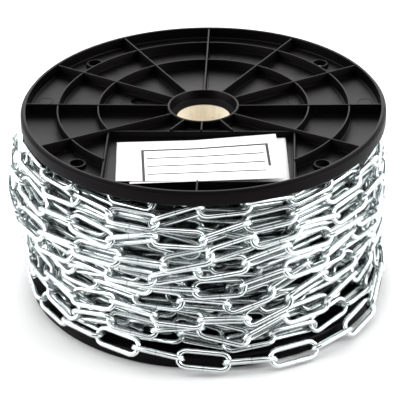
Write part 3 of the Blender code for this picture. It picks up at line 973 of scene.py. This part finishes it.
# Label sheets

def sheet_mesh(name, size, lift):
    """A thin curved sheet; lift gives its height over the flat at each (x, y) share."""
    columns, rows = 40, 28
    bm = bmesh.new()

    def corner(i, j):
        u, v = i / columns, j / rows
        return bm.verts.new(((u - 0.5) * size[0], (v - 0.5) * size[1], lift(u, v)))

    grid = [[corner(i, j) for j in range(rows + 1)] for i in range(columns + 1)]
    uv = bm.loops.layers.uv.new("sheet")
    for i in range(columns):
        for j in range(rows):
            places = ((i, j), (i + 1, j), (i + 1, j + 1), (i, j + 1))
            face = bm.faces.new([grid[a][b] for a, b in places])
            for loop, (a, b) in zip(face.loops, places):
                loop[uv].uv = (a / columns, b / rows)
    holder = helper_object(name, bm)
    solid = holder.modifiers.new("Thickness", "SOLIDIFY")
    solid.thickness = SHEET_THICKNESS
    solid.offset = 0.0
    thickened = evaluated_mesh(holder)
    bpy.data.objects.remove(holder)
    return thickened


def lay_sheet(node, size, lift, place, degrees, paper):
    """Adds one sheet, turned by some degrees, at a place over the pocket's floor."""
    name = node + "_paper"
    mesh = sheet_mesh(name, size, lift)
    floor = Matrix.Translation((*place, WINDING_HIGH + WEB))
    mesh.transform(Matrix.Scale(MM, 4) @ (floor @ Matrix.Rotation(math.radians(degrees), 4, "Z")))
    mesh.shade_smooth()
    new_object(name, mesh, paper, [node])


def labels():
    """The back sheet lies on the pocket's floor, the front one leans on the front wall."""
    def back_lift(u, v):
        return 0.5 + 0.5 * u * v

    def front_lift(u, v):
        rest_on_wall = 4.2 * (1 - v) ** 1.2
        corner = max(0.0, u - 0.45) * max(0.0, v - 0.2) * 5.2
        return 1.0 + rest_on_wall + corner

    lay_sheet("label_back_sheet", BACK_SHEET, back_lift, (1.3, -60.2), 3.0,
              label_paper("back_label_paper", ()))
    lay_sheet("label_front_sheet", FRONT_SHEET, front_lift, (2.7, -62.0), 4.7,
              label_paper("front_label_paper", PRINTED_BARS))


# Stage

def stage():
    """A plain pale floor."""
    mesh = bpy.data.meshes.new("floor")
    corners = [(x * FLOOR_HALF, y * FLOOR_HALF, 0) for x, y in ((-1, -1), (1, -1), (1, 1), (-1, 1))]
    mesh.from_pydata(corners, [], [(0, 1, 2, 3)])
    floor = scene_object("floor", mesh)
    n = Nodes("pale_floor")
    n.set(Base_Color=(FLOOR_WHITE, FLOOR_WHITE, FLOOR_WHITE, 1.0), Roughness=0.9)
    mesh.materials.append(n.material)


def camera_axes():
    """Camera place and its right, up and forward directions, in the frame."""
    elevation = math.radians(CAMERA_ELEVATION)
    place = Vector((0.0, -math.cos(elevation), math.sin(elevation))) * CAMERA_DISTANCE
    forward = Vector((0.0, math.cos(elevation), -math.sin(elevation)))
    right = Vector((1.0, 0.0, 0.0))
    up = right.cross(forward)
    tilt = Matrix.Rotation(math.radians(CAMERA_TILT), 3, right)
    forward, up = tilt @ forward, tilt @ up
    pan = Matrix.Rotation(math.radians(CAMERA_PAN), 3, up)
    forward, right = pan @ forward, pan @ right
    roll = Matrix.Rotation(math.radians(CAMERA_ROLL), 3, forward)
    right, up = roll @ right, roll @ up
    around = Matrix.Rotation(math.radians(CAMERA_AZIMUTH_SHIFT), 3, "Z")
    return around @ place, around @ right, around @ up, around @ forward


def camera():
    place, right, up, forward = camera_axes()
    data = bpy.data.cameras.new("camera")
    data.sensor_width = SENSOR
    data.lens = FOCAL_PIXELS * SENSOR / FRAME_PIXELS
    data.clip_end = 50.0
    obj = scene_object("camera", data)
    matrix = Matrix((right, up, -forward)).transposed().to_4x4()
    matrix.translation = place * MM
    obj.matrix_world = matrix
    bpy.context.scene.camera = obj


def world():
    """White studio surround with a dark upright strip at the front, where the camera stands."""
    surround = bpy.data.worlds.new("studio")
    bpy.context.scene.world = surround
    surround.use_nodes = True
    tree = surround.node_tree
    background = tree.nodes["Background"]
    direction = tree.nodes.new("ShaderNodeTexCoord")
    level = tree.nodes.new("ShaderNodeVectorMath")
    level.operation = "MULTIPLY"
    level.inputs[1].default_value = (1.0, 1.0, SURROUND_FLATTENING)
    unit = tree.nodes.new("ShaderNodeVectorMath")
    unit.operation = "NORMALIZE"
    dot = tree.nodes.new("ShaderNodeVectorMath")
    dot.operation = "DOT_PRODUCT"
    dot.inputs[1].default_value = Vector(DARK_STRIP).normalized()
    ramp = tree.nodes.new("ShaderNodeValToRGB")
    set_stops(ramp, [(position, tuple(white * part for part in SURROUND_TINT))
                     for position, white in SURROUND_STOPS])
    half = tree.nodes.new("ShaderNodeMath")
    half.operation = "MULTIPLY_ADD"
    half.inputs[1].default_value = 0.5
    half.inputs[2].default_value = 0.5
    tree.links.new(direction.outputs["Generated"], level.inputs[0])
    tree.links.new(level.outputs["Vector"], unit.inputs[0])
    tree.links.new(unit.outputs["Vector"], dot.inputs[0])
    tree.links.new(dot.outputs["Value"], half.inputs[0])
    tree.links.new(half.outputs["Value"], ramp.inputs["Fac"])
    tree.links.new(ramp.outputs["Color"], background.inputs["Color"])
    background.inputs["Strength"].default_value = 1.0


def lights():
    """Softboxes, and two large cards that are seen only as reflections."""
    for name, place, size, power in LIGHTS:
        data = bpy.data.lights.new(name, "AREA")
        data.shape = "SQUARE"
        data.size = size
        data.energy = power
        obj = scene_object(name, data)
        obj.location = place
        towards = Vector(LIGHTS_AIM) - Vector(place)
        obj.rotation_euler = towards.to_track_quat("-Z", "Y").to_euler()
        obj.visible_diffuse = not name.endswith("card")


def main():
    bpy.context.scene.view_settings.view_transform = "Standard"
    camera()
    world()
    lights()
    stage()
    flanges(black_plastic())
    tube(cardboard())
    chain()
    chain_core(painted_shade_core_steel())
    labels()


main()
